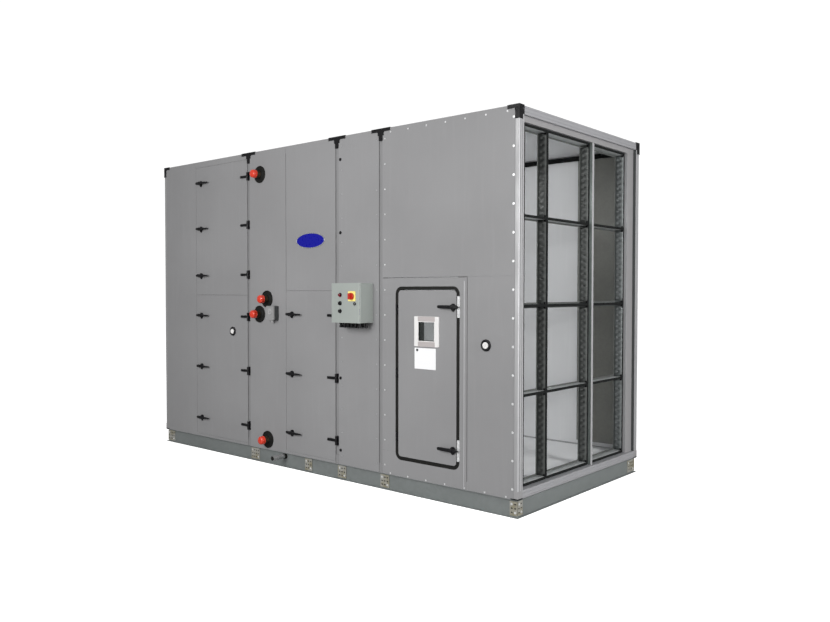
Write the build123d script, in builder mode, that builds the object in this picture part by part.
"""Modular air handling unit: cooling coils, a plug fan, service doors and an open filter bank.

The frame is in millimetres. +X runs along the casing from the discharge end to the air inlet,
-Y is the service side with its doors and pipes, +Z is up, and the origin is on the floor under
the middle of the casing.
"""
import os
from math import cos, radians, sin

from build123d import *

os.makedirs("parts", exist_ok=True)

# Casing
LENGTH = 4290
WIDTH = 1860
HEIGHT = 2800
BASE_HEIGHT = 125
PROFILE = 60            # square aluminium frame profile
PANEL = 50              # insulated sandwich panel
LIP = 2                 # outer sheet of a panel, which laps over the frame
POST_SHOWING = 33       # strip of a corner post that the panels leave open
JOINT = 36              # strip between two casing sections
FIT = 0.3               # gap between separate pieces that touch
SEAM = 4                # gap round a door
SECTION_ENDS = (1380, 2537, 3024.5)     # from the discharge end: fan, coils, plenum, inlet

# Base
CHANNEL_INSET = 20      # web of the base channel, behind the face of the casing
CHANNEL_SHEET = 4
CROSS_PITCH = 420
CROSS_FLANGE = 50

# Service doors, from the discharge end and from the floor
FAN_DOOR = (558, 1358)
FAN_SPLIT = 1507.5
ACCESS_DOOR = (1901, 2515)
ACCESS_TOP = 1547
DOOR_BOTTOM = 150
DOOR_TOP = 2742
UPPER_HEIGHTS = (1695, 2148, 2589)
LOWER_HEIGHTS = (313, 814, 1310)
ACCESS_HEIGHTS = (318, 831, 1345)
FAN_HUB = 643
ACCESS_HUB = 1979

# Walk-in door in its own panel
INSERT = (3042.5, 3858)
INSERT_TOP = 1649
GASKET_X = (3179, 3793)
GASKET_Z = (255, 1580)
GASKET_RADIUS = 57
GASKET_WIDTH = 25
WALK_HUB = 3737
WALK_HEIGHTS = (398, 1432)
WALK_HINGES = (430, 918, 1405)
WINDOW_X = (3374, 3608)
WINDOW_Z = (1134, 1358)
WINDOW_BORDER = 42

# Lever handles and hinges
LEVER_REACH = 130
LEVER_TAIL = 60
ESCUTCHEON = 8
HINGE_PROUD = 14        # hinge axis in front of the door
BARREL = 10
BARREL_LENGTH = 24
PIN = 4
RUNNING = 0.05          # radial clearance of pins and shafts

# Test ports, from the discharge end and from the floor
FAN_PORT = (1139, 1170)
INLET_PORT = (4024, 1168)

# Coils and their pipes, from the discharge end and from the floor
COIL_X = (1490, 1690)
LOWER_COIL = (181, 1400)
UPPER_COIL = (1413, 2650)
PIPES = ((1544, 2590), (1641, 1474), (1535, 1338), (1646, 218))
PIPE_R = 30
PIPE_END = 88           # end of a pipe in front of the casing
HEADER_R = 38
HEADER_DEPTH = 112      # header axis behind the face of the casing
COLLAR_R = 76
DRAIN_X = 1864
DRAIN_Z = 96
DRAIN_R = 20
DRAIN_NECK_R = 18.5     # the same pipe inside the base
DRAIN_SPIGOT = (4, 128) # the end that takes a hose, in front of the casing

# Air inlet with its filter frames: from the front face, from the inlet face, and from the floor
CELL_ROWS = 4
ROW_PITCH = 624
FIRST_ROW = 196
CELL_BAR = 14
COLUMNS = ((147, 445), (459, 1070), (1124, 1680))
MULLION = (1077, 1105)
FRAME_DEPTH = (55, 130)
RECESS = 25

# Control box, from the discharge end, from the floor and in front of the casing
BOX_X = (2624, 2942)
BOX_Z = (1296, 1608)
BOX_DEPTH = 125
BOX_FRONT = 151
BOX_SHEET = 3
DEVICE_X = 2729
LAMP_Z = 1515
SELECTOR_Z = 1450
BUTTON_Z = 1388
SWITCH = (2859, 1505)
SWITCH_PLATE = 78
LOCK = (2892, 1447)

# Plug fan, from the discharge end and from the floor
FAN_Z = 900
IMPELLER_R = 500
INLET_R = 300
BULKHEAD_X = (1310, 1340)
SHROUD_X = 1195
BACKPLATE_X = 942
BLADES = 7
SHAFT_R = 24
MOTOR_X = (400, 850)
MOTOR_R = 165
ISOLATOR_HEIGHT = 50

# Discharge opening in the end panel
DISCHARGE = 1000
DISCHARGE_Z = 1700
SPIGOT = 40
SPIGOT_FLANGE = 30

front = -WIDTH / 2
inner_w = WIDTH / 2 - PROFILE - 2
roof_under = HEIGHT - PANEL
rail_top = BASE_HEIGHT + PROFILE
rail_under = HEIGHT - PROFILE
floor_top = BASE_HEIGHT + PANEL

# Limits of the four casing sections between their joints, from the discharge end
section_spans = []
section_start = POST_SHOWING
for joint_x in SECTION_ENDS:
    section_spans.append((section_start, joint_x - JOINT / 2))
    section_start = joint_x + JOINT / 2
section_spans.append((section_start, LENGTH - POST_SHOWING))


def from_left(distance):
    """X of a point so far from the discharge end."""
    return distance - LENGTH / 2


def from_inlet(distance):
    """X of a point so far behind the inlet face."""
    return LENGTH / 2 - distance


def from_front(distance):
    """Y of a point so far behind the face of the service side."""
    return distance - WIDTH / 2


def front_plane(proud):
    """Plane parallel to the service side, so far in front of it, that faces outward."""
    return Plane(origin=(0, front - proud, 0), x_dir=(1, 0, 0), z_dir=(0, -1, 0))


def cross_plane(distance):
    """Plane across the casing, so far from the discharge end, that faces the inlet."""
    return Plane(origin=(from_left(distance), 0, 0), x_dir=(0, 1, 0), z_dir=(1, 0, 0))


def add_box(x, y, z, mode=Mode.ADD):
    """Box between the limits in x, y and z, in the part that is being built."""
    centre = ((x[0] + x[1]) / 2, (y[0] + y[1]) / 2, (z[0] + z[1]) / 2)
    with Locations(centre):
        Box(x[1] - x[0], y[1] - y[0], z[1] - z[0], mode=mode)


def add_discs(places, radius, proud_from, proud_to, mode=Mode.ADD):
    """Cylinders at (x, z) places on the service side, between two heights in front of it."""
    with BuildSketch(front_plane(proud_from)) as discs:
        with Locations(*places):
            Circle(radius)
    extrude(discs.sketch, amount=proud_to - proud_from, mode=mode)


def add_disc(x, z, radius, proud_from, proud_to, mode=Mode.ADD):
    """One cylinder on the service side, between two heights in front of it."""
    add_discs([(x, z)], radius, proud_from, proud_to, mode)


def add_drum(radius, x_from, x_to, mode=Mode.ADD):
    """Cylinder on the fan's axis, between two distances from the discharge end."""
    with BuildSketch(cross_plane(x_from)) as disc:
        with Locations((0, FAN_Z)):
            Circle(radius)
    extrude(disc.sketch, amount=x_to - x_from, mode=mode)


def add_test_port(place):
    """Ring and stopper of a pressure test port, at (from the discharge end, from the floor)."""
    x = from_left(place[0])
    add_disc(x, place[1], 42, FIT, 10)
    add_disc(x, place[1], 25, 9, 11, Mode.SUBTRACT)
    add_disc(x, place[1], 23, 8, 14)


def mirrored_walls(low, high):
    """Limits in y of the same layer in the front wall and in the rear wall."""
    return ((from_front(low), from_front(high)), (-from_front(high), -from_front(low)))


def finish(builder, name):
    """Label a finished piece and write it to its own file."""
    builder.part.label = name
    export_step(builder.part, f"parts/{name}.step")


# ---------------------------------------------------------------- base

channel_x = LENGTH / 2 - CHANNEL_INSET
channel_y = WIDTH / 2 - CHANNEL_INSET
channel_inside = channel_y - CHANNEL_SHEET - FIT

with BuildPart() as base_frame:
    for side in (-1, 1):
        web_y = sorted((side * channel_y, side * (channel_y - CHANNEL_SHEET)))
        flange_y = sorted((side * channel_y, side * (WIDTH / 2 - LIP)))
        add_box((-channel_x, channel_x), web_y, (0, BASE_HEIGHT))
        for flange_z in (0, BASE_HEIGHT - CHANNEL_SHEET):
            add_box(
                (-LENGTH / 2 + LIP, LENGTH / 2 - LIP),
                flange_y,
                (flange_z, flange_z + CHANNEL_SHEET),
            )
        end_web_x = sorted((side * channel_x, side * (channel_x - CHANNEL_SHEET)))
        end_flange_x = sorted((side * channel_x, side * (LENGTH / 2 - LIP)))
        add_box(end_web_x, (-channel_inside, channel_inside), (0, BASE_HEIGHT))
        for flange_z in (0, BASE_HEIGHT - CHANNEL_SHEET):
            add_box(
                end_flange_x,
                (-channel_inside, channel_inside),
                (flange_z, flange_z + CHANNEL_SHEET),
            )
    # Nine cross members of I section
    with BuildSketch(Plane.XZ.offset(-channel_inside)):
        with GridLocations(CROSS_PITCH, BASE_HEIGHT, 9, 1):
            with Locations((0, BASE_HEIGHT / 2)):
                Rectangle(CHANNEL_SHEET, BASE_HEIGHT)
            with Locations((0, CHANNEL_SHEET / 2), (0, BASE_HEIGHT - CHANNEL_SHEET / 2)):
                Rectangle(CROSS_FLANGE, CHANNEL_SHEET)
    extrude(amount=2 * channel_inside)
    with BuildSketch(front_plane(0)):
        with Locations((from_left(DRAIN_X), DRAIN_Z)):
            Circle(DRAIN_R + 0.5)
    extrude(amount=-CHANNEL_INSET - CHANNEL_SHEET - 1, mode=Mode.SUBTRACT)
finish(base_frame, "base_frame")

# Slotted plates that bolt the base channels together, in the corners and at the joints,
# each with the place of its middle and its width
bracket_sheet = 5
bracket_height = 100
slot_size = (17, 11)
slot_columns = 28
slot_rows = 29
side_brackets = ((75, 120), (1447, 116), (2166, 88), (2575, 96), (3052, 92), (LENGTH - 45, 60))
end_brackets = ((-WIDTH / 2 + 55, 60), (WIDTH / 2 - 85, 120))


def add_brackets(plane, way, brackets):
    """Slotted plates along a plane, on the web of a base channel."""
    with BuildSketch(plane) as plates:
        for place, width in brackets:
            with Locations((way * place, BASE_HEIGHT / 2)):
                Rectangle(width, bracket_height)
                with GridLocations(slot_columns, slot_rows, int(width / slot_columns), 3):
                    SlotOverall(*slot_size, mode=Mode.SUBTRACT)
    extrude(plates.sketch, amount=bracket_sheet - FIT)


with BuildPart() as base_brackets:
    side_places = [(from_left(place), width) for place, width in side_brackets]
    for side in (-1, 1):
        web_y = side * (channel_y + FIT)
        web_x = side * (channel_x + FIT)
        long_web = Plane(origin=(0, web_y, 0), x_dir=(-side, 0, 0), z_dir=(0, side, 0))
        end_web = Plane(origin=(web_x, 0, 0), x_dir=(0, side, 0), z_dir=(side, 0, 0))
        add_brackets(long_web, -side, side_places)
        add_brackets(end_web, side, end_brackets)
finish(base_brackets, "base_brackets")

# ---------------------------------------------------------------- frame

corner_gap = PROFILE + FIT
rail_x = (-LENGTH / 2 + corner_gap, LENGTH / 2 - corner_gap)
rail_y = (-WIDTH / 2 + corner_gap, WIDTH / 2 - corner_gap)
rail_levels = ((BASE_HEIGHT + FIT, rail_top), (rail_under, HEIGHT))
groove = 3
groove_in = 18

with BuildPart() as frame_profiles:
    # Corner posts, with a step for the lips of the long panels
    for end in (-1, 1):
        for side in (-1, 1):
            post_x = sorted((end * LENGTH / 2, end * (LENGTH / 2 - PROFILE)))
            post_y = sorted((side * WIDTH / 2, side * (WIDTH / 2 - PROFILE)))
            add_box(post_x, post_y, (rail_top + FIT, rail_under - FIT))
            step_x = sorted((end * (LENGTH / 2 - POST_SHOWING + 1), end * (LENGTH / 2 - PROFILE)))
            step_y = sorted((side * WIDTH / 2, side * (WIDTH / 2 - LIP - FIT)))
            add_box(step_x, step_y, (rail_top, rail_under), Mode.SUBTRACT)
    # Long rails, behind the lips of the panels
    for wall_y in mirrored_walls(LIP + FIT, PROFILE):
        for level in rail_levels:
            add_box(rail_x, wall_y, level)
    # End rails, with a fine groove along the face, nearer to the opening
    for end in (-1, 1):
        end_x = sorted((end * LENGTH / 2, end * (LENGTH / 2 - PROFILE)))
        groove_x = sorted((end * LENGTH / 2, end * (LENGTH / 2 - groove)))
        for level, groove_z in zip(rail_levels, (rail_top - groove_in, rail_under + groove_in)):
            add_box(end_x, rail_y, level)
            add_box(groove_x, rail_y, (groove_z, groove_z + groove), Mode.SUBTRACT)
    outer_edges = frame_profiles.edges().filter_by(Axis.Z).filter_by_position(
        Axis.X, LENGTH / 2 - 0.1, LENGTH / 2 + 0.1
    )
    outer_edges += frame_profiles.edges().filter_by(Axis.Z).filter_by_position(
        Axis.X, -LENGTH / 2 - 0.1, -LENGTH / 2 + 0.1
    )
    corner_edges = outer_edges.filter_by(lambda edge: abs(edge.center().Y) > WIDTH / 2 - 1)
    fillet(corner_edges, 8)
finish(frame_profiles, "frame_profiles")

# Posts and cross rails between the casing sections
foot_lap = 15
with BuildPart() as joint_posts:
    for joint_x in SECTION_ENDS:
        x = from_left(joint_x)
        strip = (x - JOINT / 2, x + JOINT / 2)
        for wall_y in mirrored_walls(LIP * 2, PROFILE):
            add_box(strip, wall_y, (rail_top + FIT, rail_under - FIT))
        add_box(strip, rail_y, (roof_under, HEIGHT - LIP))
        add_box(strip, rail_y, (BASE_HEIGHT + LIP, floor_top))
        # Foot plates over the long rails, joggled back to the posts
        foot = (x - JOINT / 2 + FIT, x + JOINT / 2 - FIT)
        for wall_y in mirrored_walls(0, LIP):
            add_box(foot, wall_y, (BASE_HEIGHT + LIP, rail_top + foot_lap))
        for wall_y in mirrored_walls(0, LIP * 2 + 1):
            add_box(foot, wall_y, (rail_top + FIT, rail_top + foot_lap))
finish(joint_posts, "joint_posts")

# Black plastic: corner pieces, tee pieces over the joints, plugs over the section bolts and the
# ring of a test port
arm = 95
arm_width = 24
proud = 3
stem_half = 31
foot_half = 21          # clear of the corner of a door as it opens
with BuildPart() as plastic_caps:
    for end in (-1, 1):
        for side in (-1, 1):
            cube_x = sorted((end * LENGTH / 2, end * (LENGTH / 2 - PROFILE)))
            cube_y = sorted((side * WIDTH / 2, side * (WIDTH / 2 - PROFILE)))
            for level in rail_levels:
                add_box(cube_x, cube_y, level)
            step_x = sorted((end * (LENGTH / 2 - POST_SHOWING + 1), end * (LENGTH / 2 - PROFILE)))
            step_y = sorted((side * WIDTH / 2, side * (WIDTH / 2 - LIP - FIT)))
            add_box(step_x, step_y, (BASE_HEIGHT, HEIGHT), Mode.SUBTRACT)
            skin_y = sorted((side * WIDTH / 2, side * (WIDTH / 2 + proud)))
            skin_x = sorted((end * LENGTH / 2, end * (LENGTH / 2 + proud)))
            arm_x = sorted((end * (LENGTH / 2 + proud), end * (LENGTH / 2 - arm)))
            leg_x = sorted((end * (LENGTH / 2 + proud), end * (LENGTH / 2 - POST_SHOWING)))
            arm_y = sorted((side * WIDTH / 2, side * (WIDTH / 2 - PROFILE)))
            leg_y = sorted((side * WIDTH / 2, side * (WIDTH / 2 - PROFILE * 0.7)))
            lid_y = sorted((side * (WIDTH / 2 + proud), side * (WIDTH / 2 - PROFILE)))
            lid_x = sorted((end * (LENGTH / 2 + proud), end * (LENGTH / 2 - PROFILE)))
            add_box(arm_x, skin_y, (HEIGHT - arm_width, HEIGHT + proud))
            add_box(leg_x, skin_y, (HEIGHT - arm, HEIGHT + proud))
            add_box(skin_x, arm_y, (HEIGHT - PROFILE, HEIGHT + proud))
            add_box(skin_x, leg_y, (HEIGHT - arm, HEIGHT - PROFILE))
            add_box(lid_x, lid_y, (HEIGHT, HEIGHT + proud))
    for joint_x in SECTION_ENDS:
        x = from_left(joint_x)
        for side in (-1, 1):
            skin_y = sorted((side * (WIDTH / 2 + FIT), side * (WIDTH / 2 + proud)))
            lid_y = sorted((side * (WIDTH / 2 + proud), side * (WIDTH / 2 - PROFILE)))
            add_box((x - 98, x + 98), skin_y, (HEIGHT - arm_width, HEIGHT + proud))
            add_box((x - stem_half, x + stem_half), skin_y, (DOOR_TOP + SEAM, HEIGHT + proud))
            add_box((x - foot_half, x + foot_half), skin_y, (HEIGHT - arm, HEIGHT + proud))
            add_box((x - 98, x + 98), lid_y, (HEIGHT + FIT, HEIGHT + proud))
    add_discs([(from_left(2577), 244 + 592 * row) for row in range(5)], 13, FIT, 6)
    add_test_port(INLET_PORT)
finish(plastic_caps, "plastic_caps")

# ---------------------------------------------------------------- fixed panels


def add_panel(x, z, side=-1):
    """Sandwich panel of a long wall: its outer sheet laps over the rails and posts behind it."""
    limit_x = (from_left(x[0]), from_left(x[1]))
    skin_y = sorted((side * WIDTH / 2, side * (WIDTH / 2 - LIP)))
    core_y = sorted((side * WIDTH / 2, side * (WIDTH / 2 - PANEL)))
    core_x = (
        max(limit_x[0], from_left(PROFILE + FIT)),
        min(limit_x[1], from_left(LENGTH - PROFILE - FIT)),
    )
    core_z = (max(z[0], rail_top + FIT), min(z[1], rail_under - FIT))
    add_box(limit_x, skin_y, z)
    if core_z[1] - core_z[0] > 1:
        add_box(core_x, core_y, core_z)


pipe_places = [(from_left(pipe_x), pipe_z) for pipe_x, pipe_z in PIPES]
skin_z = (BASE_HEIGHT + LIP, HEIGHT - LIP)
fan_span, coil_span, plenum_span, inlet_span = section_spans
gasket_x = (from_left(GASKET_X[0]), from_left(GASKET_X[1]))
gasket_middle = (sum(gasket_x) / 2, sum(GASKET_Z) / 2)
gasket_size = (gasket_x[1] - gasket_x[0], GASKET_Z[1] - GASKET_Z[0])

with BuildPart() as front_panels:
    # Fan section: a blank panel and the strips over and under the two doors
    add_panel((fan_span[0], FAN_DOOR[0] - SEAM), skin_z)
    add_panel((FAN_DOOR[0] - SEAM + FIT, fan_span[1]), (DOOR_TOP + SEAM, skin_z[1]))
    add_panel((FAN_DOOR[0] - SEAM + FIT, fan_span[1]), (skin_z[0], DOOR_BOTTOM - SEAM))
    # Coil section: the pipe panel, the upper panel and the strip under the access door
    add_panel((coil_span[0], ACCESS_DOOR[0] - SEAM), skin_z)
    add_panel((ACCESS_DOOR[0], coil_span[1]), (ACCESS_TOP + SEAM, skin_z[1]))
    add_panel((ACCESS_DOOR[0] - SEAM + FIT, coil_span[1]), (skin_z[0], DOOR_BOTTOM - SEAM))
    # Plenum section
    add_panel(plenum_span, skin_z)
    # Inlet section: two sheets that meet without a seam
    add_panel(inlet_span, (INSERT_TOP + FIT, skin_z[1]))
    add_panel((INSERT[1] + SEAM, inlet_span[1]), (skin_z[0], INSERT_TOP))
    # The panel round the walk-in door, in four pieces
    below = (skin_z[0], GASKET_Z[0] + GASKET_RADIUS)
    between = (GASKET_Z[0] + GASKET_RADIUS + FIT, GASKET_Z[1] - GASKET_RADIUS - FIT)
    above = (GASKET_Z[1] - GASKET_RADIUS, INSERT_TOP - SEAM)
    add_panel(INSERT, below)
    add_panel((INSERT[0], GASKET_X[0]), between)
    add_panel((GASKET_X[1], INSERT[1]), between)
    add_panel(INSERT, above)
    with BuildSketch(front_plane(1)):
        with Locations(gasket_middle):
            RectangleRounded(*gasket_size, GASKET_RADIUS)
    extrude(amount=-PANEL - 2, mode=Mode.SUBTRACT)
    add_discs(pipe_places, PIPE_R + 2, 1, -PANEL - 1, Mode.SUBTRACT)
finish(front_panels, "front_panels")

with BuildPart() as rear_panels:
    for span in section_spans:
        add_panel(span, skin_z, side=1)
finish(rear_panels, "rear_panels")

roof_spans = [(PROFILE + FIT, section_spans[0][1] - FIT)]
roof_spans += [(low + FIT, high - FIT) for low, high in section_spans[1:3]]
roof_spans.append((section_spans[3][0] + FIT, LENGTH - PROFILE - FIT))

with BuildPart() as roof_panels:
    for low, high in roof_spans:
        add_box((from_left(low), from_left(high)), rail_y, (roof_under, HEIGHT - LIP))
finish(roof_panels, "roof_panels")

drain_depth = 110
with BuildPart() as floor_panels:
    for low, high in roof_spans:
        add_box((from_left(low), from_left(high)), rail_y, (BASE_HEIGHT + LIP, floor_top))
    with Locations((from_left(DRAIN_X), from_front(drain_depth), BASE_HEIGHT)):
        Cylinder(DRAIN_R + 1, 4 * PANEL, mode=Mode.SUBTRACT)
finish(floor_panels, "floor_panels")

opening_y = (-DISCHARGE / 2, DISCHARGE / 2)
opening_z = (DISCHARGE_Z - DISCHARGE / 2, DISCHARGE_Z + DISCHARGE / 2)
with BuildPart() as discharge_panel:
    panel_x = (from_left(LIP), from_left(LIP + PANEL))
    add_box(panel_x, rail_y, (rail_top + FIT, rail_under - FIT))
    add_box(panel_x, opening_y, opening_z, Mode.SUBTRACT)
finish(discharge_panel, "discharge_panel")

spigot_sheet = 3
with BuildPart() as discharge_spigot:
    with BuildSketch(cross_plane(LIP + PANEL)):
        with Locations((0, DISCHARGE_Z)):
            Rectangle(DISCHARGE - 2 * FIT, DISCHARGE - 2 * FIT)
            Rectangle(
                DISCHARGE - 2 * spigot_sheet, DISCHARGE - 2 * spigot_sheet, mode=Mode.SUBTRACT
            )
    extrude(amount=-LIP - PANEL - SPIGOT)
    with BuildSketch(cross_plane(-SPIGOT)):
        with Locations((0, DISCHARGE_Z)):
            Rectangle(DISCHARGE + 2 * SPIGOT_FLANGE, DISCHARGE + 2 * SPIGOT_FLANGE)
            Rectangle(
                DISCHARGE - 2 * spigot_sheet, DISCHARGE - 2 * spigot_sheet, mode=Mode.SUBTRACT
            )
        with Locations((0, DISCHARGE_Z)):
            with GridLocations(DISCHARGE + SPIGOT_FLANGE, DISCHARGE + SPIGOT_FLANGE, 2, 2):
                Circle(4.5, mode=Mode.SUBTRACT)
    extrude(amount=spigot_sheet)
finish(discharge_spigot, "discharge_spigot")

# Screws of the panels, and the two keeper plates of the walk-in door
screw_r = 9
screw_height = 4
screw_pitch = 194
screw_rows = 14
screw_columns = (2594, 2980, 3068, 4246)
row_pitch = 178
row_start = 3126
row_count = 7


def add_screws(side):
    """Screws of the plenum and inlet panels on one long wall."""
    start = FIT if side < 0 else -WIDTH - FIT
    stop = screw_height if side < 0 else -WIDTH - screw_height
    places = []
    for column in screw_columns:
        places += [(from_left(column), 197 + screw_pitch * row) for row in range(screw_rows)]
    for row_z in (138, 2765):
        places += [(from_left(row_start + row_pitch * n), row_z) for n in range(row_count)]
    add_discs(places, screw_r, start, stop)


with BuildPart() as panel_fixings:
    add_screws(-1)
    add_screws(1)
    for height in WALK_HEIGHTS:
        keeper_x = (from_left(GASKET_X[1] - 18), from_left(GASKET_X[1] + 4))
        add_box(keeper_x, (front - 9, front - FIT), (height - 77, height + 77))
finish(panel_fixings, "panel_fixings")

# ---------------------------------------------------------------- air inlet

bar_x = (from_inlet(FRAME_DEPTH[1]), from_inlet(FRAME_DEPTH[0]))
seal_x = (from_inlet(FRAME_DEPTH[0] - FIT), from_inlet(FRAME_DEPTH[0] - 5))
row_lines = [FIRST_ROW + ROW_PITCH * row for row in range(CELL_ROWS + 1)]
grid_z = (row_lines[0] - CELL_BAR / 2, row_lines[-1] + CELL_BAR / 2)
upright_bars = (
    (COLUMNS[0][0] - CELL_BAR / 2, COLUMNS[0][0]),
    (COLUMNS[0][1], COLUMNS[1][0]),
    (COLUMNS[1][1], MULLION[0] - FIT),
    (MULLION[1] + FIT, COLUMNS[2][0]),
    (COLUMNS[2][1], COLUMNS[2][1] + CELL_BAR / 2),
)

with BuildPart() as filter_frames:
    for low, high in upright_bars:
        add_box(bar_x, (from_front(low), from_front(high)), grid_z)
    for low, high in COLUMNS:
        for line in row_lines:
            add_box(
                bar_x,
                (from_front(low + FIT), from_front(high - FIT)),
                (line - CELL_BAR / 2, line + CELL_BAR / 2),
            )
finish(filter_frames, "filter_frames")

blank_sheet = 5
with BuildPart() as inlet_frame:
    # The mullion, the strip over the cells, and a blanking sheet with its return on each side,
    # deeper on the service side
    mullion_y = (from_front(MULLION[0]), from_front(MULLION[1]))
    deep_x = (from_inlet(FRAME_DEPTH[1]), from_inlet(RECESS))
    add_box(deep_x, mullion_y, (rail_top + FIT, grid_z[1]))
    add_box(deep_x, rail_y, (grid_z[1] + FIT, rail_under - FIT))
    sheet_x = (from_inlet(RECESS + blank_sheet), from_inlet(RECESS))
    near_sheet_x = (from_inlet(FRAME_DEPTH[0] + blank_sheet), from_inlet(FRAME_DEPTH[0]))
    near_deep_x = (from_inlet(FRAME_DEPTH[1]), from_inlet(FRAME_DEPTH[0]))
    left_y = (rail_y[0], from_front(upright_bars[0][0] - FIT))
    right_y = (from_front(upright_bars[-1][1] + FIT), rail_y[1])
    add_box(near_sheet_x, left_y, (rail_top + FIT, grid_z[1]))
    add_box(near_deep_x, (left_y[1] - 4, left_y[1]), (rail_top + FIT, grid_z[1]))
    add_box(sheet_x, right_y, (rail_top + FIT, grid_z[1]))
    add_box(deep_x, (right_y[0], right_y[0] + 4), (rail_top + FIT, grid_z[1]))
finish(inlet_frame, "inlet_frame")

# ---------------------------------------------------------------- coils

coil_y = (from_front(172), -from_front(100))
coil_sheet = 4


def coil(name, level):
    """Finned block in its casing of four plates."""
    x = (from_left(COIL_X[0]), from_left(COIL_X[1]))
    wide = (x[0] - 14, x[1] + 14)
    with BuildPart() as block:
        add_box(
            x,
            (coil_y[0] + coil_sheet + FIT, coil_y[1] - coil_sheet - FIT),
            (level[0] + coil_sheet + FIT, level[1] - coil_sheet - FIT),
        )
        add_box(wide, (coil_y[0], coil_y[0] + coil_sheet), level)
        add_box(wide, (coil_y[1] - coil_sheet, coil_y[1]), level)
        plate_y = (coil_y[0] + coil_sheet + FIT, coil_y[1] - coil_sheet - FIT)
        add_box(wide, plate_y, (level[0], level[0] + coil_sheet))
        add_box(wide, plate_y, (level[1] - coil_sheet, level[1]))
    finish(block, name)


coil("coil_lower", LOWER_COIL)
coil("coil_upper", UPPER_COIL)

with BuildPart() as coil_pipework:
    for pipe_x, pipe_z in PIPES:
        level = LOWER_COIL if pipe_z < UPPER_COIL[0] else UPPER_COIL
        header_z = (level[0] + 12, level[1] - 12)
        x = from_left(pipe_x)
        with Locations((x, from_front(HEADER_DEPTH), sum(header_z) / 2)):
            Cylinder(HEADER_R, header_z[1] - header_z[0])
        feed_pitch = (header_z[1] - header_z[0] - 100) / 10
        feeds = [(x, header_z[0] + 50 + feed_pitch * row) for row in range(11)]
        add_discs(feeds, 8, -HEADER_DEPTH, -(coil_y[0] - front) + FIT)
    add_discs(pipe_places, PIPE_R, -HEADER_DEPTH + HEADER_R + FIT, PIPE_END)
finish(coil_pipework, "coil_pipework")

with BuildPart() as pipe_caps:
    add_discs(pipe_places, PIPE_R + 8, PIPE_END - 32, PIPE_END + 8)
    tips = pipe_caps.edges().filter_by(GeomType.CIRCLE).group_by(Axis.Y)[0]
    fillet(tips, 7)
    add_discs(pipe_places, PIPE_R + FIT, PIPE_END - 33, PIPE_END + FIT, Mode.SUBTRACT)
finish(pipe_caps, "pipe_caps")

# Rubber rosettes round the pipes, and the ring and the end plug of the drain
drain_bore = DRAIN_R - 3
with BuildPart() as pipe_collars:
    for pipe_x, pipe_z in PIPES:
        rosette = Plane(
            origin=(from_left(pipe_x), front - FIT, pipe_z), x_dir=(1, 0, 0), z_dir=(0, -1, 0)
        )
        with BuildSketch(rosette):
            Circle(COLLAR_R)
        with BuildSketch(rosette.offset(8)):
            Circle(COLLAR_R)
        loft()
        with BuildSketch(rosette.offset(8)):
            Circle(COLLAR_R - 6)
        with BuildSketch(rosette.offset(24)):
            Circle(PIPE_R + 12)
        loft()
        with BuildSketch(rosette):
            Circle(PIPE_R + FIT)
        extrude(amount=30, mode=Mode.SUBTRACT)
    drain_start, drain_end = DRAIN_SPIGOT
    drain_x = from_left(DRAIN_X)
    add_disc(drain_x, DRAIN_Z, DRAIN_R + 4, -CHANNEL_INSET + FIT, drain_start - 1)
    add_disc(drain_x, DRAIN_Z, DRAIN_NECK_R + FIT, -CHANNEL_INSET, drain_start, Mode.SUBTRACT)
    add_disc(drain_x, DRAIN_Z, drain_bore - FIT, drain_end - 18, drain_end + 1)
    add_disc(drain_x, DRAIN_Z, DRAIN_R - 1, drain_end + FIT, drain_end + 4)
finish(pipe_collars, "pipe_collars")

pan_sheet = 2
with BuildPart() as drain_pans:
    # One tray on the floor and one between the coils
    for pan_start, pan_z, pan_rim in (
        (1404, floor_top + FIT, 38),
        (1469, LOWER_COIL[1] + FIT, 42),
    ):
        outer_x = (from_left(pan_start), from_left(1884))
        outer_y = (-inner_w, inner_w)
        add_box(outer_x, outer_y, (pan_z, pan_z + pan_rim))
        add_box(
            (outer_x[0] + pan_sheet, outer_x[1] - pan_sheet),
            (outer_y[0] + pan_sheet, outer_y[1] - pan_sheet),
            (pan_z + pan_sheet, pan_z + pan_rim + 1),
            Mode.SUBTRACT,
        )
        add_discs(pipe_places, PIPE_R + 3, -PANEL, -PANEL - 30, Mode.SUBTRACT)
        with Locations((from_left(DRAIN_X), from_front(drain_depth), pan_z)):
            Cylinder(drain_bore, 20, mode=Mode.SUBTRACT)
    # The outlet goes down through the floor and out through the base
    outlet_y = from_front(drain_depth)
    neck_top = DRAIN_Z + DRAIN_NECK_R + FIT
    with BuildSketch(Plane.XY.offset(neck_top)):
        with Locations((drain_x, outlet_y)):
            Circle(DRAIN_R)
            Circle(drain_bore, mode=Mode.SUBTRACT)
    extrude(amount=floor_top - neck_top)
    add_disc(drain_x, DRAIN_Z, DRAIN_NECK_R, -drain_depth - DRAIN_R, drain_start)
    add_disc(drain_x, DRAIN_Z, DRAIN_R, drain_start, drain_end)
    add_disc(drain_x, DRAIN_Z, drain_bore, -drain_depth + DRAIN_R, drain_end, Mode.SUBTRACT)
finish(drain_pans, "drain_pans")

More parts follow.
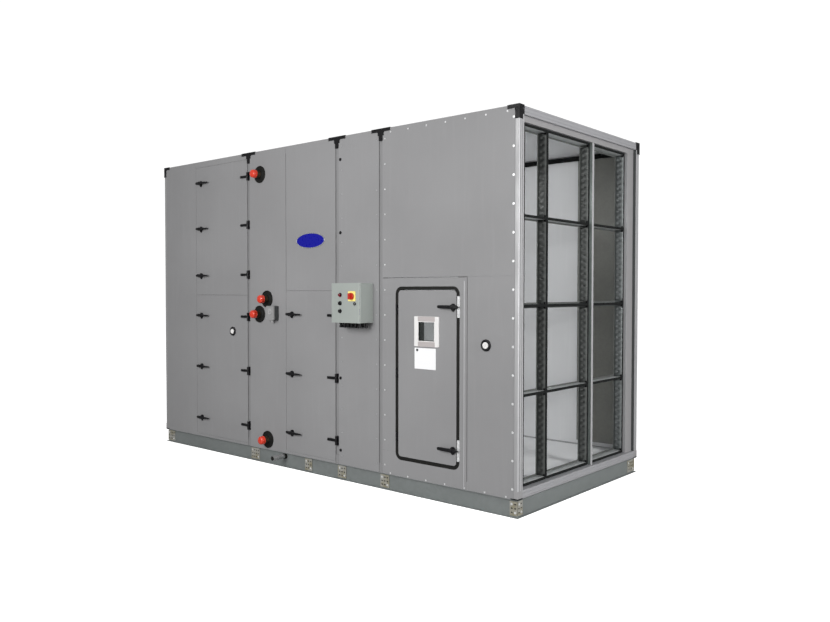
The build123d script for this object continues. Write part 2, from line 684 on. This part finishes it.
blade_pitch = 44
blade_count = 38
vane_x = (1406, 1466)
with BuildPart() as droplet_eliminator:
    # Zigzag vanes between a bottom channel and a top channel
    vane_z = (floor_top + 46, roof_under - 20)
    for step in range(blade_count):
        vane_y = (step - (blade_count - 1) / 2) * blade_pitch
        with BuildSketch(Plane.XY.offset(vane_z[0] + 20)):
            with BuildLine():
                Polyline(
                    (from_left(vane_x[0] + 4), vane_y),
                    (from_left(vane_x[0] + 22), vane_y + 14),
                    (from_left(vane_x[0] + 42), vane_y - 4),
                    (from_left(vane_x[1] - 4), vane_y + 10),
                )
            trace(line_width=2)
        extrude(amount=vane_z[1] - vane_z[0] - 40)
    frame_x = (from_left(vane_x[0]), from_left(vane_x[1]))
    frame_y = (-inner_w + 6, inner_w - 6)
    add_box(frame_x, frame_y, (vane_z[0], vane_z[0] + 20.5))
    add_box(frame_x, frame_y, (vane_z[1] - 20.5, vane_z[1]))
    add_box(frame_x, (frame_y[0], frame_y[0] + 4), vane_z)
    add_box(frame_x, (frame_y[1] - 4, frame_y[1]), vane_z)
finish(droplet_eliminator, "droplet_eliminator")

# Frost thermostat on the pipe panel
stat_x = (from_left(1693), from_left(1799))
stat_z = (1289, 1415)
stat_depth = 56
with BuildPart() as frost_thermostat:
    add_box(stat_x, (front - stat_depth, front - FIT), stat_z)
    fillet(frost_thermostat.edges().group_by(Axis.Y)[0], 4)
    add_disc(sum(stat_x) / 2, sum(stat_z) / 2 + 14, 27, stat_depth, stat_depth + 6)
    add_disc(sum(stat_x) / 2, sum(stat_z) / 2 + 14, 10, stat_depth, stat_depth + 12)
    with BuildSketch(Plane.XY.offset(stat_z[0])):
        with Locations((sum(stat_x) / 2, front - stat_depth / 2)):
            Circle(11)
    extrude(amount=-22)
finish(frost_thermostat, "frost_thermostat")

# ---------------------------------------------------------------- plug fan

with BuildPart() as fan_bulkhead:
    bulkhead_x = (from_left(BULKHEAD_X[0]), from_left(BULKHEAD_X[1]))
    add_box(bulkhead_x, (-inner_w, inner_w), (floor_top + FIT, roof_under - FIT))
    add_drum(INLET_R + 72, BULKHEAD_X[0] - 1, BULKHEAD_X[1] + 1, Mode.SUBTRACT)
finish(fan_bulkhead, "fan_bulkhead")

axis_plane = Plane(origin=(from_left(0), 0, FAN_Z), x_dir=(1, 0, 0), z_dir=(0, -1, 0))
fan_axis = Axis((from_left(0), 0, FAN_Z), (1, 0, 0))
throat_x = SHROUD_X + 12
flare_x = SHROUD_X + 27
mouth_x = BULKHEAD_X[0] - FIT
cone_sheet = 3
mouth_r = INLET_R + 72
with BuildPart() as fan_inlet_cone:
    # A short throat, a flare and the flange that is bolted to the bulkhead
    with BuildSketch(axis_plane):
        with BuildLine():
            Line((throat_x, INLET_R), (flare_x, INLET_R))
            arc = TangentArc((flare_x, INLET_R), (mouth_x, mouth_r), tangent=(1, 0))
            Line(arc @ 1, (mouth_x, mouth_r + 60))
            Line((mouth_x, mouth_r + 60), (mouth_x - cone_sheet, mouth_r + 60))
            Line((mouth_x - cone_sheet, mouth_r + 60), (mouth_x - cone_sheet, mouth_r + cone_sheet))
            outer = TangentArc(
                (flare_x - 1, INLET_R + cone_sheet),
                (mouth_x - cone_sheet, mouth_r + cone_sheet),
                tangent=(1, 0),
            )
            Line(outer @ 0, (throat_x, INLET_R + cone_sheet))
            Line((throat_x, INLET_R + cone_sheet), (throat_x, INLET_R))
        make_face()
    revolve(axis=fan_axis)
finish(fan_inlet_cone, "fan_inlet_cone")

with BuildPart() as fan_impeller:
    # Back plate, backward curved blades, shroud with its inlet collar, hub and shaft
    add_drum(IMPELLER_R, BACKPLATE_X, BACKPLATE_X + 8)
    with BuildSketch(cross_plane(BACKPLATE_X + 7.5)):
        for blade in range(BLADES):
            turn = 360 / BLADES * blade
            root = (330 * cos(radians(turn)), FAN_Z + 330 * sin(radians(turn)))
            bend = (425 * cos(radians(turn - 11)), FAN_Z + 425 * sin(radians(turn - 11)))
            tip = (492 * cos(radians(turn - 30)), FAN_Z + 492 * sin(radians(turn - 30)))
            with BuildLine():
                curve = ThreePointArc(root, bend, tip)
            trace(curve, line_width=5)
    extrude(amount=SHROUD_X - BACKPLATE_X - 7)
    add_drum(IMPELLER_R, SHROUD_X, SHROUD_X + 6)
    add_drum(INLET_R + 12, SHROUD_X, SHROUD_X + 21)
    add_drum(INLET_R + 6, SHROUD_X - 1, SHROUD_X + 22, Mode.SUBTRACT)
    add_drum(70, BACKPLATE_X - 50, BACKPLATE_X + 40)
    add_drum(SHAFT_R, MOTOR_X[1] - 70, BACKPLATE_X + 55)
finish(fan_impeller, "fan_impeller")

motor_foot_z = FAN_Z - 200
with BuildPart() as fan_motor:
    # Finned housing, end shields, feet and terminal box
    add_drum(MOTOR_R - 15, MOTOR_X[0] + 30, MOTOR_X[1])
    add_drum(MOTOR_R, MOTOR_X[0], MOTOR_X[0] + 60)
    add_drum(MOTOR_R, MOTOR_X[1] - 20, MOTOR_X[1])
    for fin in range(20):
        fin_plane = Plane(
            origin=(from_left(MOTOR_X[0] + 40), 0, FAN_Z),
            x_dir=(0, cos(radians(18 * fin)), sin(radians(18 * fin))),
            z_dir=(1, 0, 0),
        )
        with BuildSketch(fin_plane):
            with Locations((MOTOR_R - 12, 0)):
                Rectangle(20, 5)
        extrude(amount=MOTOR_X[1] - MOTOR_X[0] - 50)
    for foot_y in (-1, 1):
        foot_limits = sorted((foot_y * 85, foot_y * 175))
        foot_x = (from_left(MOTOR_X[0] + 80), from_left(MOTOR_X[1] - 60))
        add_box(foot_x, foot_limits, (motor_foot_z, motor_foot_z + 18))
        add_box(foot_x, sorted((foot_y * 85, foot_y * 115)), (motor_foot_z, FAN_Z - 90))
    box_x = (from_left(MOTOR_X[0] + 150), from_left(MOTOR_X[1] - 110))
    add_box(box_x, (-85, 85), (FAN_Z + 120, FAN_Z + 245))
    add_drum(SHAFT_R + RUNNING, MOTOR_X[1] - 75, MOTOR_X[1] + 1, Mode.SUBTRACT)
finish(fan_motor, "fan_motor")

deck_z = motor_foot_z - FIT
deck_sheet = 10
skid_z = floor_top + ISOLATOR_HEIGHT + FIT
skid_height = 80
skid_inside = 330
skid_width = 70
member_places = (430, 800)
member_half = 30
leg_half = 25
with BuildPart() as fan_base:
    # Two skids on four rubber isolators, cross members, four legs and the motor's deck
    for side in (-1, 1):
        skid_y = sorted((side * skid_inside, side * (skid_inside + skid_width)))
        add_box((from_left(180), from_left(1240)), skid_y, (skid_z, skid_z + skid_height))
        for member in member_places:
            add_box(
                (from_left(member - leg_half), from_left(member + leg_half)),
                sorted((side * 150, side * (150 + 2 * leg_half))),
                (skid_z + skid_height + FIT, deck_z - deck_sheet - FIT),
            )
        for isolator_x in (240, 1180):
            isolator_y = side * (skid_inside + skid_width / 2)
            isolator_z = floor_top + FIT + ISOLATOR_HEIGHT / 2
            with Locations((from_left(isolator_x), isolator_y, isolator_z)):
                Cylinder(42, ISOLATOR_HEIGHT - 2 * FIT)
    for member in member_places:
        add_box(
            (from_left(member - member_half), from_left(member + member_half)),
            (-skid_inside + FIT, skid_inside - FIT),
            (skid_z, skid_z + skid_height),
        )
    add_box((from_left(400), from_left(850)), (-210, 210), (deck_z - deck_sheet, deck_z))
finish(fan_base, "fan_base")

# ---------------------------------------------------------------- doors


def service_door(name, x, z):
    """Sandwich panel door: its sheet fills the opening and its core clears the rails."""
    with BuildPart() as door:
        limit_x = (from_left(x[0]), from_left(x[1]))
        core_z = (max(z[0], rail_top + SEAM), min(z[1], rail_under - SEAM))
        add_box(limit_x, (from_front(0), from_front(LIP)), z)
        add_box(limit_x, (from_front(0), from_front(PANEL)), core_z)
    finish(door, name)


service_door("door_fan_upper", FAN_DOOR, (FAN_SPLIT + SEAM / 2, DOOR_TOP))
service_door("door_fan_lower", FAN_DOOR, (DOOR_BOTTOM, FAN_SPLIT - SEAM / 2))
service_door("door_access", ACCESS_DOOR, (DOOR_BOTTOM, ACCESS_TOP))

walk_gap = GASKET_WIDTH + 3
walk_x = (gasket_x[0] + walk_gap, gasket_x[1] - walk_gap)
walk_z = (GASKET_Z[0] + walk_gap, GASKET_Z[1] - walk_gap)
walk_size = (walk_x[1] - walk_x[0], walk_z[1] - walk_z[0])
window_middle = (from_left(sum(WINDOW_X) / 2), sum(WINDOW_Z) / 2)
window_size = (WINDOW_X[1] - WINDOW_X[0], WINDOW_Z[1] - WINDOW_Z[0])
sight_size = (window_size[0] - 2 * WINDOW_BORDER, window_size[1] - 2 * WINDOW_BORDER)

with BuildPart() as door_walk_in:
    with BuildSketch(front_plane(0)):
        with Locations(gasket_middle):
            RectangleRounded(*walk_size, GASKET_RADIUS - walk_gap)
        with Locations(window_middle):
            Rectangle(sight_size[0] + 20, sight_size[1] + 20, mode=Mode.SUBTRACT)
    extrude(amount=-PANEL)
finish(door_walk_in, "door_walk_in")

with BuildPart() as window_frame:
    # Outer bezel, sleeve through the door and inner bezel
    for start, stop, size in (
        (FIT, 9, window_size),
        (FIT, -PANEL - FIT, (sight_size[0] + 19, sight_size[1] + 19)),
        (-PANEL - FIT, -PANEL - 8, window_size),
    ):
        with BuildSketch(front_plane(start)):
            with Locations(window_middle):
                RectangleRounded(*size, 6)
                Rectangle(*sight_size, mode=Mode.SUBTRACT)
        extrude(amount=stop - start)
finish(window_frame, "window_frame")

with BuildPart() as window_glass:
    for pane in (-2, -PANEL + 6):
        with BuildSketch(front_plane(pane)):
            with Locations(window_middle):
                Rectangle(sight_size[0] - 2 * FIT, sight_size[1] - 2 * FIT)
        extrude(amount=-4)
finish(window_glass, "window_glass")

# Rubber gaskets: on the filter frames, behind the gaps of the service doors, and in the cut-out
# of the walk-in door, where the gasket is notched for the hinges
seal_sheet = 8
seal_lap = 10
fan_seal_right = (FAN_DOOR[1] - seal_lap, SECTION_ENDS[0] - JOINT / 2 - FIT)
access_seal_right = (ACCESS_DOOR[1] - seal_lap, SECTION_ENDS[1] - JOINT / 2 - FIT)
fan_seal_left = (FAN_DOOR[0] - SEAM - seal_lap, FAN_DOOR[0] + seal_lap)
access_seal_left = (ACCESS_DOOR[0] - SEAM - seal_lap, ACCESS_DOOR[0] + seal_lap)
fan_seal_z = (rail_top + FIT, rail_under - FIT)
access_seal_z = (rail_top + FIT, ACCESS_TOP + SEAM + seal_lap)
door_seals = (
    (fan_seal_left, fan_seal_z),
    (fan_seal_right, fan_seal_z),
    (
        (fan_seal_left[1] + FIT, fan_seal_right[0] - FIT),
        (FAN_SPLIT - SEAM / 2 - seal_lap, FAN_SPLIT + SEAM / 2 + seal_lap),
    ),
    (access_seal_left, access_seal_z),
    (access_seal_right, access_seal_z),
    (
        (access_seal_left[1] + FIT, access_seal_right[0] - FIT),
        (ACCESS_TOP - seal_lap, ACCESS_TOP + SEAM + seal_lap),
    ),
)
walk_axis_x = from_left(GASKET_X[0] + 14)
hinge_half = 30
with BuildPart() as gaskets:
    with BuildSketch(front_plane(0)):
        with Locations(gasket_middle):
            RectangleRounded(gasket_size[0] - FIT, gasket_size[1] - FIT, GASKET_RADIUS)
            RectangleRounded(
                gasket_size[0] - 2 * GASKET_WIDTH,
                gasket_size[1] - 2 * GASKET_WIDTH,
                GASKET_RADIUS - GASKET_WIDTH,
                mode=Mode.SUBTRACT,
            )
    extrude(amount=-PANEL + 4)
    for height in WALK_HINGES:
        add_box(
            (walk_axis_x - 12, walk_axis_x + 20),
            (front - 1, front + 30),
            (height - hinge_half - 4, height + hinge_half + 4),
            Mode.SUBTRACT,
        )
    for door_x, door_z in door_seals:
        door_limits = (from_left(door_x[0]), from_left(door_x[1]))
        add_box(door_limits, (from_front(PANEL + FIT), from_front(PANEL + seal_sheet)), door_z)
    for low, high in upright_bars:
        add_box(seal_x, (from_front(low), from_front(high)), grid_z)
    for low, high in COLUMNS:
        for line in row_lines:
            add_box(
                seal_x,
                (from_front(low + FIT), from_front(high - FIT)),
                (line - CELL_BAR / 2, line + CELL_BAR / 2),
            )
finish(gaskets, "gaskets")

# ---------------------------------------------------------------- hinges and handles

hinge_x = {
    "fan_upper": SECTION_ENDS[0],
    "fan_lower": SECTION_ENDS[0],
    "access": SECTION_ENDS[1],
}
hinge_heights = {
    "fan_upper": UPPER_HEIGHTS,
    "fan_lower": LOWER_HEIGHTS,
    "access": ACCESS_HEIGHTS,
}
handle_hubs = {"fan_upper": FAN_HUB, "fan_lower": FAN_HUB, "access": ACCESS_HUB}
leaf_reach = 111
leaf_half = 11
plate_half = 39
walk_barrel = 5
walk_pin = 2.5
walk_barrel_length = 20
walk_barrel_pitch = 20.5


def add_upright(x, y, z, radius, length, mode=Mode.ADD):
    """Upright cylinder about its middle."""
    with Locations((x, y, z)):
        Cylinder(radius, length, mode=mode)


with BuildPart() as hinge_knuckles:
    # The fixed half of every hinge: a plate on the frame, two barrels and the pin
    for door, centre in hinge_x.items():
        x = from_left(centre)
        y = front - HINGE_PROUD
        for z in hinge_heights[door]:
            plate_z = (z - plate_half, z + plate_half)
            add_box((x - 5, x + 17), (front - 2, front + 2 * LIP - FIT), plate_z)
            for side in (-1, 1):
                middle = z + side * (BARREL_LENGTH + 0.5)
                add_upright(x, y, middle, BARREL, BARREL_LENGTH)
                limits = (middle - BARREL_LENGTH / 2, middle + BARREL_LENGTH / 2)
                add_box((x - 5, x + 9), (y, front - 1), limits)
            add_upright(x, y, z, PIN, 2 * BARREL_LENGTH)
    for z in WALK_HINGES:
        for side in (-1, 1):
            middle = z + side * walk_barrel_pitch
            limits = (middle - walk_barrel_length / 2, middle + walk_barrel_length / 2)
            add_upright(walk_axis_x, front, middle, walk_barrel, walk_barrel_length)
            add_box((walk_axis_x - 11.7, walk_axis_x), (front, front + walk_barrel), limits)
            add_box((walk_axis_x - 11.7, walk_axis_x - 6.5), (front, front + 29.7), limits)
        add_upright(walk_axis_x, front, z, walk_pin, 1.5 * walk_barrel_length)
finish(hinge_knuckles, "hinge_knuckles")


def add_escutcheon(x, z):
    """Base of a lever handle on its door."""
    with BuildSketch(front_plane(FIT)) as outline:
        with Locations((x, z)):
            Circle(24)
        with Locations((x, z - 22)):
            Circle(12)
        make_hull()
    extrude(outline.sketch, amount=ESCUTCHEON)


def door_fittings(name, door):
    """What a side-hung door carries: three handle bases and three hinge leaves."""
    x = from_left(hinge_x[door])
    y = front - HINGE_PROUD
    with BuildPart() as fittings:
        for z in hinge_heights[door]:
            add_escutcheon(from_left(handle_hubs[door]), z)
            leaf_z = (z - leaf_half, z + leaf_half)
            add_box((x - leaf_reach, x - 8), (y + 4, front - FIT), leaf_z)
            add_box((x - 8.5, x), (y + 4, y + BARREL - FIT), leaf_z)
            add_upright(x, y, z, BARREL, BARREL_LENGTH)
            add_upright(x, y, z, PIN + RUNNING, 2 * BARREL_LENGTH, Mode.SUBTRACT)
        if door == "fan_lower":
            add_test_port(FAN_PORT)
    finish(fittings, name)


door_fittings("fittings_fan_upper", "fan_upper")
door_fittings("fittings_fan_lower", "fan_lower")
door_fittings("fittings_access", "access")

with BuildPart() as fittings_walk_in:
    for z in WALK_HEIGHTS:
        add_escutcheon(from_left(WALK_HUB), z)
    for z in WALK_HINGES:
        leaf_z = (z - 9, z + 9)
        add_upright(walk_axis_x, front, z, walk_barrel, walk_barrel_length)
        add_box((walk_axis_x, walk_x[0] - FIT), (front, front + walk_barrel), leaf_z)
        add_box((walk_x[0] - 5, walk_x[0] - FIT), (front, front + 26), leaf_z)
        add_upright(
            walk_axis_x, front, z, walk_pin + RUNNING, 2 * walk_barrel_length, Mode.SUBTRACT
        )
finish(fittings_walk_in, "fittings_walk_in")


def lever_handle(name, x, z, way):
    """Lever on its hub; way is 1 with the lever towards the inlet and -1 the other way."""
    start = ESCUTCHEON + 2 * FIT
    with BuildPart() as handle:
        add_disc(x, z, 17, start, 26)
        with BuildSketch(front_plane(20)):
            with Locations((x - way * (LEVER_TAIL - 11), z)):
                Circle(11)
            with Locations((x, z)):
                Circle(17)
            with Locations((x + way * (LEVER_REACH - 9), z)):
                Circle(9)
            make_hull()
        extrude(amount=18)
        fillet(handle.edges().group_by(Axis.Y)[0], 4)
    finish(handle, name)


for door in hinge_heights:
    for number, z in enumerate(hinge_heights[door], start=1):
        lever_handle(f"handle_{door}_{number}", from_left(handle_hubs[door]), z, 1)
for number, z in enumerate(WALK_HEIGHTS, start=1):
    lever_handle(f"handle_walk_in_{number}", from_left(WALK_HUB), z, -1)

# ---------------------------------------------------------------- control box

box_x = (from_left(BOX_X[0]), from_left(BOX_X[1]))
box_y = (front - BOX_DEPTH, front - FIT)
pivot_x = box_x[0] - 7
pivot_y = front - BOX_DEPTH - 1
box_hinges = (BOX_Z[0] + 50, BOX_Z[1] - 50)

with BuildPart() as control_box:
    add_box(box_x, box_y, BOX_Z)
    fillet(control_box.edges().filter_by(Axis.Y), 5)
    add_box(
        (box_x[0] + BOX_SHEET, box_x[1] - BOX_SHEET),
        (box_y[0] - 1, box_y[1] - BOX_SHEET),
        (BOX_Z[0] + BOX_SHEET, BOX_Z[1] - BOX_SHEET),
        Mode.SUBTRACT,
    )
    for z in box_hinges:
        add_upright(pivot_x, pivot_y, z - 12, 5, 22)
        add_box((pivot_x, box_x[0] + 1), (pivot_y + 1, pivot_y + 5), (z - 23, z - 1))
        add_upright(pivot_x, pivot_y, z, 2.5, 44)
finish(control_box, "control_box")

with BuildPart() as control_box_door:
    # A shallow tray with rounded upright edges and its two hinge tabs
    door_y = (front - BOX_FRONT, front - BOX_DEPTH - 2)
    add_box(box_x, door_y, BOX_Z)
    fillet(control_box_door.edges().filter_by(Axis.Z).group_by(Axis.Y)[0], 12)
    add_box(
        (box_x[0] + BOX_SHEET, box_x[1] - BOX_SHEET),
        (door_y[0] + BOX_SHEET, door_y[1] + 1),
        (BOX_Z[0] + BOX_SHEET, BOX_Z[1] - BOX_SHEET),
        Mode.SUBTRACT,
    )
    for z in box_hinges:
        add_upright(pivot_x, pivot_y, z + 11.5, 5, 22)
        add_box((pivot_x, box_x[0] + 1), (pivot_y - 5, pivot_y - 1), (z + 0.5, z + 22.5))
        add_upright(pivot_x, pivot_y, z, 2.5 + RUNNING, 60, Mode.SUBTRACT)
finish(control_box_door, "control_box_door")

with BuildPart() as switch_plate:
    with BuildSketch(front_plane(BOX_FRONT + FIT)):
        with Locations((from_left(SWITCH[0]), SWITCH[1])):
            RectangleRounded(SWITCH_PLATE, SWITCH_PLATE, 4)
            Circle(10, mode=Mode.SUBTRACT)
    extrude(amount=4)
finish(switch_plate, "switch_plate")

with BuildPart() as switch_knob:
    x = from_left(SWITCH[0])
    add_disc(x, SWITCH[1], 9.9, BOX_FRONT + FIT, BOX_FRONT + 8)
    add_disc(x, SWITCH[1], 27, BOX_FRONT + 5, BOX_FRONT + 20)
    with BuildSketch(front_plane(BOX_FRONT + 20)):
        with Locations((x, SWITCH[1])):
            RectangleRounded(14, 50, 5)
    extrude(amount=22)
    fillet(switch_knob.edges().group_by(Axis.Y)[0], 2)
finish(switch_knob, "switch_knob")

with BuildPart() as device_bezels:
    for z in (LAMP_Z, SELECTOR_Z, BUTTON_Z):
        add_disc(from_left(DEVICE_X), z, 17, BOX_FRONT + FIT, BOX_FRONT + 7)
        add_disc(from_left(DEVICE_X), z, 13.3, BOX_FRONT, BOX_FRONT + 8, Mode.SUBTRACT)
finish(device_bezels, "device_bezels")

with BuildPart() as pilot_lamp:
    add_disc(from_left(DEVICE_X), LAMP_Z, 12.5, BOX_FRONT + FIT, BOX_FRONT + 18)
    fillet(pilot_lamp.edges().filter_by(GeomType.CIRCLE).group_by(Axis.Y)[0], 5)
finish(pilot_lamp, "pilot_lamp")

with BuildPart() as selector_switch:
    add_disc(from_left(DEVICE_X), SELECTOR_Z, 12.5, BOX_FRONT + FIT, BOX_FRONT + 12)
    with BuildSketch(front_plane(BOX_FRONT + 12)):
        with Locations((from_left(DEVICE_X), SELECTOR_Z)):
            RectangleRounded(8, 24, 3)
    extrude(amount=12)
    fillet(selector_switch.edges().group_by(Axis.Y)[0], 1.5)
finish(selector_switch, "selector_switch")

with BuildPart() as push_button:
    add_disc(from_left(DEVICE_X), BUTTON_Z, 12.5, BOX_FRONT + 4 + FIT, BOX_FRONT + 16)
    fillet(push_button.edges().filter_by(GeomType.CIRCLE).group_by(Axis.Y)[0], 2)
finish(push_button, "push_button")

with BuildPart() as box_lock:
    add_disc(from_left(LOCK[0]), LOCK[1], 12, BOX_FRONT + FIT, BOX_FRONT + 10)
    with BuildSketch(front_plane(BOX_FRONT + 11)):
        with Locations((from_left(LOCK[0]), LOCK[1])):
            Rectangle(3, 14)
    extrude(amount=-4, mode=Mode.SUBTRACT)
finish(box_lock, "box_lock")

# Two rows of glands: distance in front of the casing, number, and the first one's place
gland_rows = ((42, 7, 2660), (104, 6, 2690))
gland_pitch = 41
with BuildPart() as cable_glands:
    for gland_proud, gland_count, gland_start in gland_rows:
        for step in range(gland_count):
            x = from_left(gland_start + gland_pitch * step)
            with BuildSketch(Plane.XY.offset(BOX_Z[0] - FIT)):
                with Locations((x, front - gland_proud)):
                    RegularPolygon(15, 6)
            extrude(amount=-9)
            with BuildSketch(Plane.XY.offset(BOX_Z[0] - 9)):
                with Locations((x, front - gland_proud)):
                    Circle(11)
            extrude(amount=-14)
            with BuildSketch(Plane.XY.offset(BOX_Z[0] - 22)):
                with Locations((x, front - gland_proud)):
                    RegularPolygon(14, 6)
            extrude(amount=-17)
finish(cable_glands, "cable_glands")
